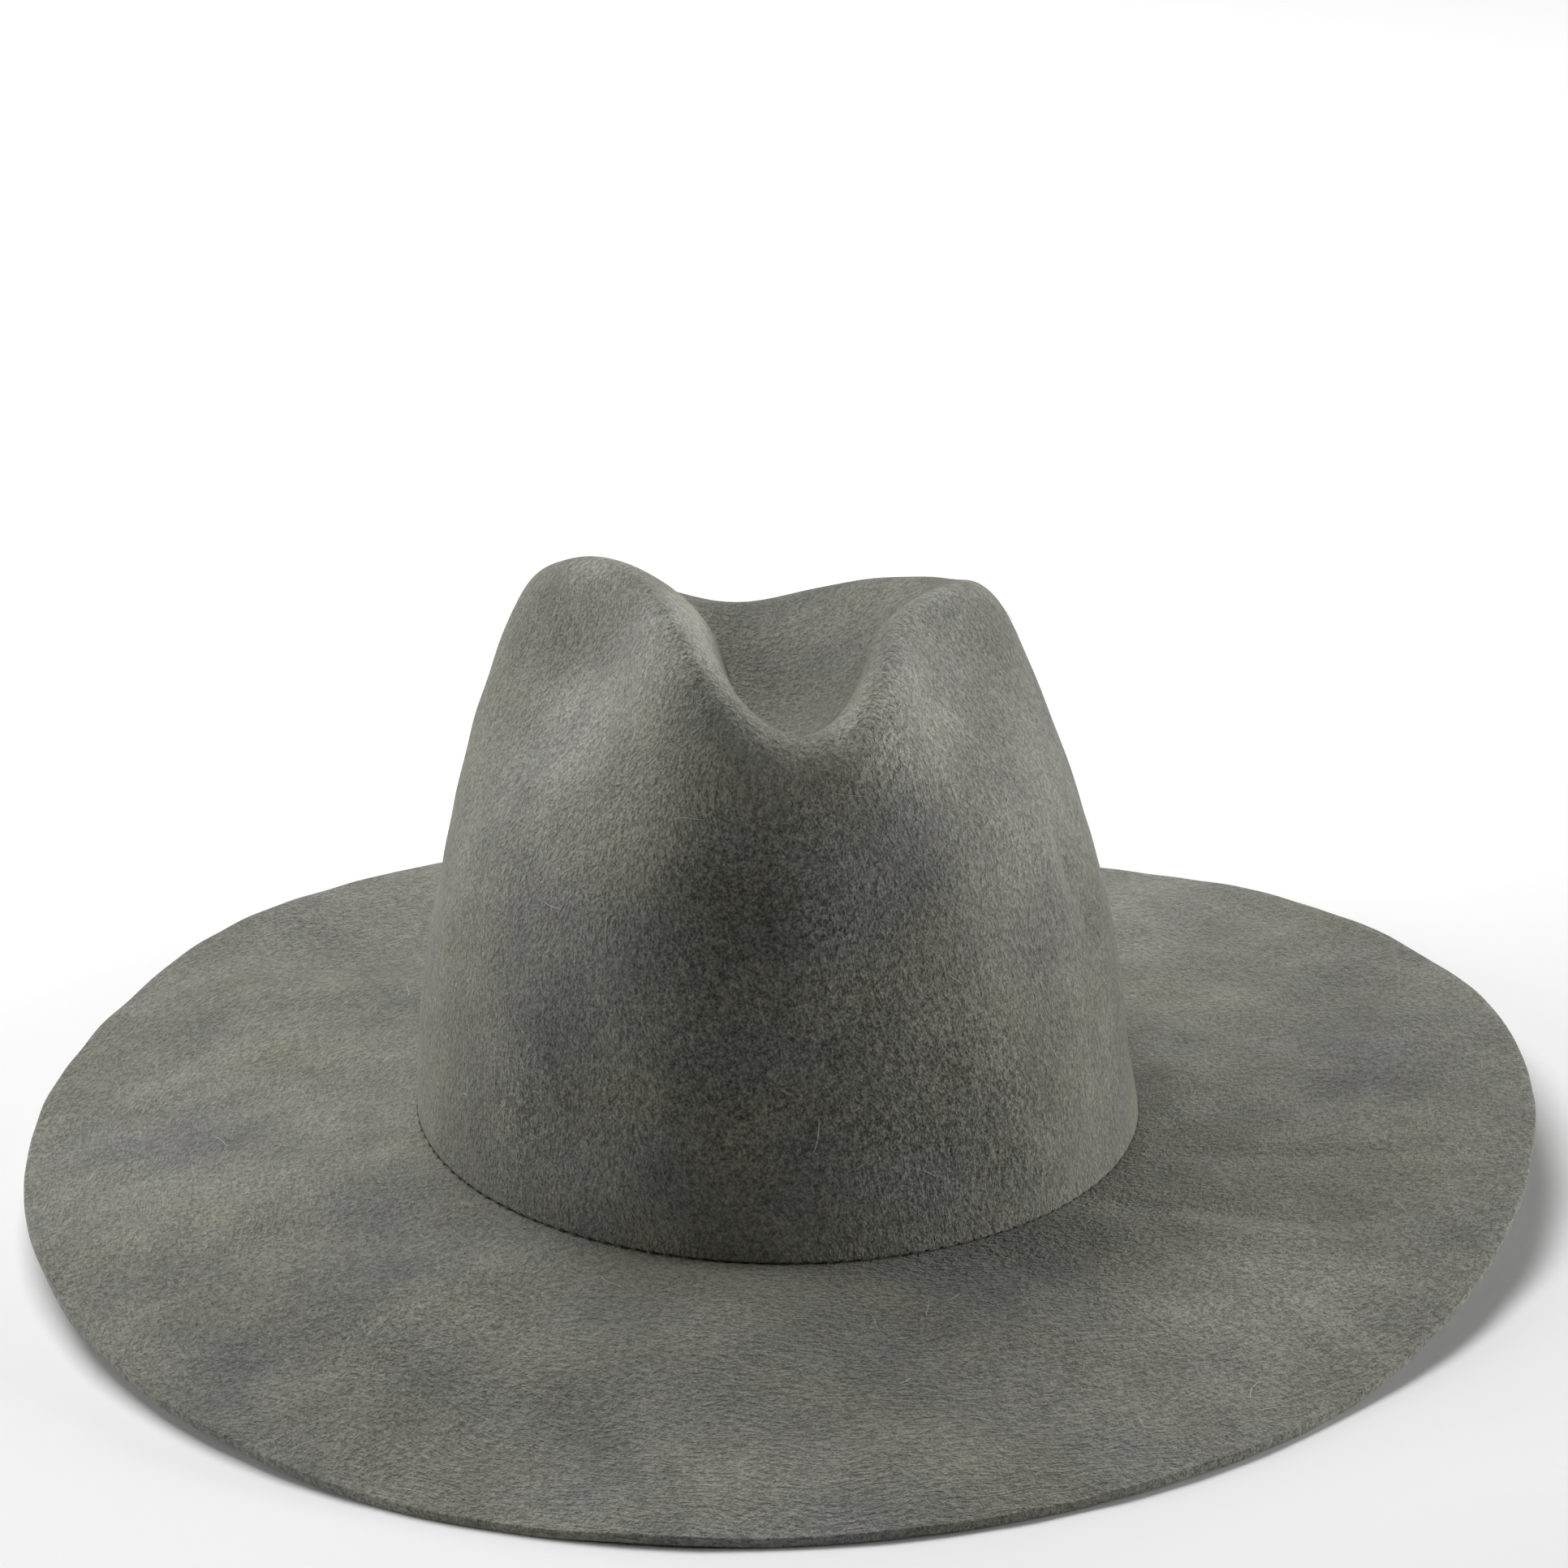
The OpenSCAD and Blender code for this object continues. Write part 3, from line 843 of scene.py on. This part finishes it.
BRIM_PAINTED_LIGHT_AND_WEAR = (
    ((-150, 5, 13), (45, 60, 30), 0.2),
    ((95, -118, 12), (36, 24, 30), 0.5),
    ((-23, -182, 8), (60, 14, 30), 0.22),
    ((66, -74, 15), (20, 12, 30), 0.3),
    ((-90, -115, 14), (34, 26, 30), -0.16),
    ((-109, 127, 15), (40, 30, 30), -0.14),
    ((-73, -61, 15), (10, 12, 30), -0.1),
)


def toned(tree, place, tones):
    """A brightness near 1 that is higher or lower round each of the given places."""
    brightness = 1.0
    for middle, reach, change in tones:
        away = add(tree, "VectorMath", {0: place, 1: metres(middle)}, operation="SUBTRACT").outputs[0]
        away = add(tree, "VectorMath", {0: away, 1: metres(reach)}, operation="DIVIDE").outputs[0]
        square = add(tree, "VectorMath", {0: away, 1: away}, operation="DOT_PRODUCT").outputs["Value"]
        nearness = maths(tree, "EXPONENT", maths(tree, "MULTIPLY", square, -1.0))
        brightness = maths(tree, "MULTIPLY_ADD", nearness, change, brightness)
    return brightness


def felt_material(name, on_brim):
    """Mottled felt with a short brushed nap: down the crown's wall, round the brim, with painted highlight
    and painted shade in its colour.
    """
    material, tree, surface = new_material(name, 0.95, 0.1, 0.22, 0.5, rgb(0.8, 0.8, 0.76))
    place = object_place(tree)
    swirl = add(tree, "TexNoise", {"Vector": place, "Scale": 40.0, "Detail": 1.0}).outputs["Color"]
    swirl = add(tree, "VectorMath", {0: swirl, 1: (0.5, 0.5, 0.5)}, operation="SUBTRACT").outputs[0]
    swirl = dimmed(tree, swirl, 0.012)
    if on_brim:
        flow = add(tree, "VectorMath", {0: flow_place(tree), 1: swirl}).outputs[0]
        nap = noise(tree, stretched(tree, flow, (*NAP, 1), (0, 0, 12)), 1.0, 3.0, 0.6)
        fibres = noise(tree, stretched(tree, flow, (*FIBRES, 1), (0, 0, -9)), 1.0, 1.0)
    else:
        flow = add(tree, "VectorMath", {0: place, 1: swirl}).outputs[0]
        wall = noise(tree, stretched(tree, flow, (NAP[1], NAP[1], NAP[0]), (0, 18, 0)), 1.0, 3.0, 0.6)
        top = noise(tree, stretched(tree, flow, (NAP[1], NAP[0], NAP[1])), 1.0, 3.0, 0.6)
        facing = add(tree, "SeparateXYZ", {0: add(tree, "NewGeometry").outputs["Normal"]}).outputs[2]
        nap = add(tree, "Mix", {0: limits(tree, facing, 0.5, 0.8), 2: wall, 3: top}).outputs[0]
        fine = (FIBRES[1], FIBRES[1], FIBRES[0])
        fibres = noise(tree, stretched(tree, flow, fine, (0, -16, 0)), 1.0, 1.0)
    clumps = noise(tree, place, 640.0, 3.0, 0.6)
    specks = noise(tree, place, 1700.0, 2.0, 0.6)
    patches = noise(tree, stretched(tree, place, (1, 1.6, 1.6), (0, 0, 20)), 21.0, 4.0, 0.5)
    blotches = noise(tree, place, 95.0, 3.0, 0.55)
    colour = mixed(tree, limits(tree, patches, 0.44, 0.74), FELT_GREY, FELT_OLIVE)
    colour = mixed(tree, limits(tree, patches, 0.48, 0.28), colour, FELT_DUSKY)
    tufts = limits(tree, nap, 0.36, 0.64)
    pits = limits(tree, clumps, 0.36, 0.62)
    dots = limits(tree, specks, 0.36, 0.64)
    shade = weighted(tree, 0.47, (tufts, 0.2), (pits, 0.26), (dots, 0.4), (blotches, 0.26))
    shade = maths(tree, "ADD", shade, limits(tree, fibres, 0.62, 0.78, 0.0, 0.25))
    # painted highlight and painted shade, partly worn nap: the felt is made brighter or darker round the
    # listed places
    painted_light_and_wear = toned(tree, place, BRIM_PAINTED_LIGHT_AND_WEAR if on_brim else CROWN_PAINTED_LIGHT_AND_WEAR)
    # where the felt is painted darker the fine mottling is made stronger: painted light and shade of side
    # light catching the nap
    shade = maths(tree, "POWER", shade, limits(tree, painted_light_and_wear, 1.0, 0.7, 1.15, 2.0))
    clouds = noise(tree, place, 34.0, 3.0, 0.55)
    shade = maths(tree, "MULTIPLY", shade, limits(tree, clouds, 0.3, 0.7, 0.88, 1.12))
    # the painted highlight and painted shade darken or brighten the colour here
    shade = maths(tree, "MULTIPLY", shade, painted_light_and_wear)
    height = weighted(tree, 0.0, (tufts, 0.36), (pits, 0.42), (fibres, 0.15), (specks, 0.35))
    finish_material(tree, surface, dimmed(tree, colour, shade), height, 0.42)
    return material


def thread_material(name, dark, light):
    """Twisted thread: fine slanting strands."""
    material, tree, surface = new_material(name, 0.6, 0.3, 0.2, 0.4)
    place = object_place(tree)
    strands = noise(tree, stretched(tree, place, (3000, 3000, 9000), (30, 20, 40)), 1.0, 2.0)
    colour = mixed(tree, limits(tree, strands, 0.35, 0.65), dark, light)
    finish_material(tree, surface, colour, strands, 0.08)
    return material


def leather_material(name):
    """Smooth roan leather: fine pebbled grain, pores and a slightly worn, uneven colour."""
    material, tree, surface = new_material(name, 0.42, 0.45)
    surface.inputs["Coat Weight"].default_value = 0.08
    surface.inputs["Coat Roughness"].default_value = 0.3
    place = object_place(tree)
    cells = add(tree, "TexVoronoi", {"Vector": place, "Scale": 1150.0}, feature="DISTANCE_TO_EDGE")
    grain = limits(tree, cells.outputs["Distance"], 0.0, 0.28)
    fine = noise(tree, place, 2600.0, 2.0)
    broad = noise(tree, place, 55.0, 3.0, 0.6)
    colour = mixed(tree, limits(tree, broad, 0.3, 0.7), rgb(0.17, 0.075, 0.032), rgb(0.30, 0.155, 0.075))
    colour = dimmed(tree, colour, maths(tree, "MULTIPLY_ADD", grain, 0.4, 0.65))
    roughness = maths(tree, "MULTIPLY_ADD", broad, 0.25, 0.33)
    tree.links.new(roughness, surface.inputs["Roughness"])
    height = maths(tree, "ADD", grain, maths(tree, "MULTIPLY", fine, 0.3))
    finish_material(tree, surface, colour, height, 0.12)
    return material


def woven_material(name, dark, light, across, along, sheen, roughness=0.7):
    """A woven cloth in the flow map: threads at the given counts per metre."""
    material, tree, surface = new_material(name, roughness, 0.3, sheen, 0.35)
    flow = add(tree, "SeparateXYZ", {0: flow_place(tree)})
    warp = maths(tree, "SINE", maths(tree, "MULTIPLY", flow.outputs[0], 2 * math.pi * along))
    weft = maths(tree, "SINE", maths(tree, "MULTIPLY", flow.outputs[1], 2 * math.pi * across))
    weave = maths(tree, "MULTIPLY_ADD", maths(tree, "MULTIPLY", warp, weft), 0.25, 0.5)
    rib = maths(tree, "MULTIPLY_ADD", warp, 0.2, weave)
    place = object_place(tree)
    uneven = noise(tree, place, 90.0, 3.0)
    share = maths(tree, "MULTIPLY_ADD", uneven, 0.8, maths(tree, "MULTIPLY_ADD", rib, 0.5, -0.15))
    colour = mixed(tree, share, dark, light)
    finish_material(tree, surface, colour, rib, 0.06)
    return material


def ribbon_material(name, dark, light):
    """Ribbed ribbon, seen by place because its loops have no flow map."""
    material, tree, surface = new_material(name, 0.55, 0.35, 0.3, 0.4)
    place = object_place(tree)
    across = add(tree, "SeparateXYZ", {0: place}).outputs[0]
    ribs_per_metre = 1400
    ribs = maths(tree, "SINE", maths(tree, "MULTIPLY", across, 2 * math.pi * ribs_per_metre))
    uneven = noise(tree, place, 300.0, 2.0)
    share = maths(tree, "MULTIPLY_ADD", ribs, 0.3, maths(tree, "MULTIPLY_ADD", uneven, 0.6, 0.1))
    colour = mixed(tree, share, dark, light)
    finish_material(tree, surface, colour, ribs, 0.08)
    return material


def satin_material(name, dark, light):
    """Satin: a dark gloss that changes with the light, with very fine threads along the sheet."""
    material, tree, surface = new_material(name, 0.36, 0.5, 0.25, 0.3, rgb(0.9, 0.85, 0.75))
    surface.inputs["Anisotropic"].default_value = 0.5
    flow = flow_place(tree)
    threads = noise(tree, stretched(tree, flow, (5200, 260, 1)), 1.0, 2.0)
    place = object_place(tree)
    uneven = noise(tree, place, 45.0, 3.0)
    share = maths(tree, "MULTIPLY_ADD", threads, 0.7, maths(tree, "MULTIPLY_ADD", uneven, 0.6, -0.15))
    colour = mixed(tree, share, dark, light)
    finish_material(tree, surface, colour, threads, 0.04)
    return material


def plastic_material(name):
    """Extruded reed: faint drawing lines and a few scuffs."""
    material, tree, surface = new_material(name, 0.45, 0.4)
    place = object_place(tree)
    scuffs = noise(tree, place, 400.0, 3.0)
    colour = mixed(tree, limits(tree, scuffs, 0.35, 0.7), rgb(0.72, 0.69, 0.6), rgb(0.86, 0.84, 0.77))
    finish_material(tree, surface, colour, scuffs, 0.05)
    return material


def floor_material(name):
    """Pale paper that glows from a little way off, so that it runs into the white wall without a line."""
    material, tree, surface = new_material(name, 0.9, 0.1)
    place = object_place(tree)
    grain = noise(tree, place, 3.0, 2.0)
    colour = mixed(tree, grain, rgb(0.86, 0.86, 0.86), rgb(0.9, 0.9, 0.9))
    far = add(tree, "VectorMath", {0: place}, operation="LENGTH").outputs["Value"]
    glow = limits(tree, far, 1.2, 2.6, 0.0, 0.9)
    surface.inputs["Emission Color"].default_value = rgb(1, 1, 1)
    tree.links.new(glow, surface.inputs["Emission Strength"])
    finish_material(tree, surface, colour, noise(tree, place, 300.0), 0.05)
    return material


# ---------------------------------------------------------------- camera, floor and light

# The camera stands in front of the hat, turned a little towards -X, and looks down on it; in degrees and mm.
CAMERA_RISE = 21.0
CAMERA_TURN = 4.0
CAMERA_DISTANCE = 1400.0
CAMERA_AIM = (1.6, 75.5)
CAMERA_LENS = 134.0
CAMERA_FILM = 36.0
LIGHTS_AIM = (0, 0, 0.07)


def make_camera():
    level = cosd(CAMERA_RISE)
    back = np.array([-level * sind(CAMERA_TURN), -level * cosd(CAMERA_TURN), sind(CAMERA_RISE)])
    right = np.array([cosd(CAMERA_TURN), -sind(CAMERA_TURN), 0])
    up = np.cross(back, right)
    place = stand(CAMERA_DISTANCE * back)
    aim = stand(CAMERA_AIM[0] * right + CAMERA_AIM[1] * up)
    ahead = unit(aim - place)
    side = unit(np.cross(ahead, tilted(up)))
    over = np.cross(side, ahead)
    turn = Matrix([[side[k], over[k], -ahead[k]] for k in range(3)])
    camera = bpy.data.cameras.new("camera")
    camera.lens = CAMERA_LENS
    camera.sensor_width = CAMERA_FILM
    camera.clip_end = 20.0
    holder = bpy.data.objects.new("camera", camera)
    holder.matrix_world = Matrix.Translation(Vector(place)) @ turn.to_4x4()
    bpy.context.scene.collection.objects.link(holder)
    bpy.context.scene.camera = holder


def softbox(name, place, size, power):
    light = bpy.data.lights.new(name, "AREA")
    light.shape = "RECTANGLE"
    light.size, light.size_y = size
    light.energy = power
    holder = bpy.data.objects.new(name, light)
    holder.location = place
    holder.rotation_mode = "QUATERNION"
    holder.rotation_quaternion = (Vector(LIGHTS_AIM) - Vector(place)).to_track_quat("-Z", "Y")
    bpy.context.scene.collection.objects.link(holder)


def make_lights():
    """Two low side lights rake the nap, one wide light from high behind fills the brim and the top.

    The world lights the hat hardly at all, and shows as a white studio wall behind it.
    """
    softbox("light_right", (1.58, 0.0, 0.3), (1.5, 0.45), 25)
    softbox("light_left", (-1.51, 0.18, 0.51), (1.0, 0.7), 11)
    softbox("light_back", (-0.53, 1.05, 1.66), (1.8, 0.9), 46)
    world = bpy.data.worlds.new("world")
    world.use_nodes = True
    seen = add(world.node_tree, "LightPath").outputs["Is Camera Ray"]
    background = world.node_tree.nodes["Background"].inputs
    background["Color"].default_value = rgb(1, 1, 1)
    world.node_tree.links.new(limits(world.node_tree, seen, 0.0, 1.0, 0.02, 0.95), background["Strength"])
    bpy.context.scene.world = world


def make_floor():
    size, steps = 8.0, 40
    across = np.linspace(-size / 2, size / 2, steps + 1)
    x, y = np.meshgrid(across, across, indexing="ij")
    points = np.stack([x, y, 0 * x], -1).reshape(-1, 3)
    mesh = bpy.data.meshes.new("floor")
    mesh.from_pydata(points.tolist(), [], quads(steps + 1, steps + 1, False, False).tolist())
    floor = bpy.data.objects.new("floor", mesh)
    bpy.context.scene.collection.objects.link(floor)
    mesh.materials.append(floor_material("floor"))


# ---------------------------------------------------------------- the scene

bpy.context.scene.view_settings.view_transform = "Standard"

make_camera()
make_lights()
make_floor()

crown_felt = felt_material("crown_felt", False)
brim_felt = felt_material("brim_felt", True)
seam_thread = thread_material("seam_thread", rgb(0.028, 0.028, 0.024), rgb(0.08, 0.08, 0.068))
band_thread = thread_material("band_thread", rgb(0.32, 0.24, 0.15), rgb(0.6, 0.48, 0.34))
leather = leather_material("sweatband_leather")
tape_cloth = woven_material("reed_tape", rgb(0.03, 0.03, 0.027), rgb(0.1, 0.1, 0.088), 1100, 1300, 0.2)
satin = satin_material("lining_satin", rgb(0.045, 0.042, 0.035), rgb(0.13, 0.12, 0.095))
tip_satin = satin_material("lining_tip_satin", rgb(0.05, 0.046, 0.037), rgb(0.145, 0.13, 0.1))
piping_satin = thread_material("piping_satin", rgb(0.11, 0.085, 0.04), rgb(0.22, 0.175, 0.09))

PIECES = (
    (make_crown, crown_felt),
    (make_brim, brim_felt),
    (make_seam_stitches, seam_thread),
    (make_sweatband, leather),
    (make_reed, plastic_material("reed_plastic")),
    (make_tape, tape_cloth),
    (make_band_stitches, band_thread),
    (make_lacing, band_thread),
    (make_bow, ribbon_material("bow_ribbon", rgb(0.012, 0.012, 0.011), rgb(0.06, 0.06, 0.053))),
    (make_lining_side, satin),
    (make_lining_tip, tip_satin),
    (make_piping, piping_satin),
    (make_tag, woven_material("tag_paper", rgb(0.62, 0.6, 0.54), rgb(0.85, 0.83, 0.77), 2200, 2200, 0.1)),
    (make_hairs, thread_material("pale_hair", rgb(0.4, 0.4, 0.36), rgb(0.7, 0.7, 0.66))),
)
for make, material in PIECES:
    piece = make()
    piece.data.materials.append(material)
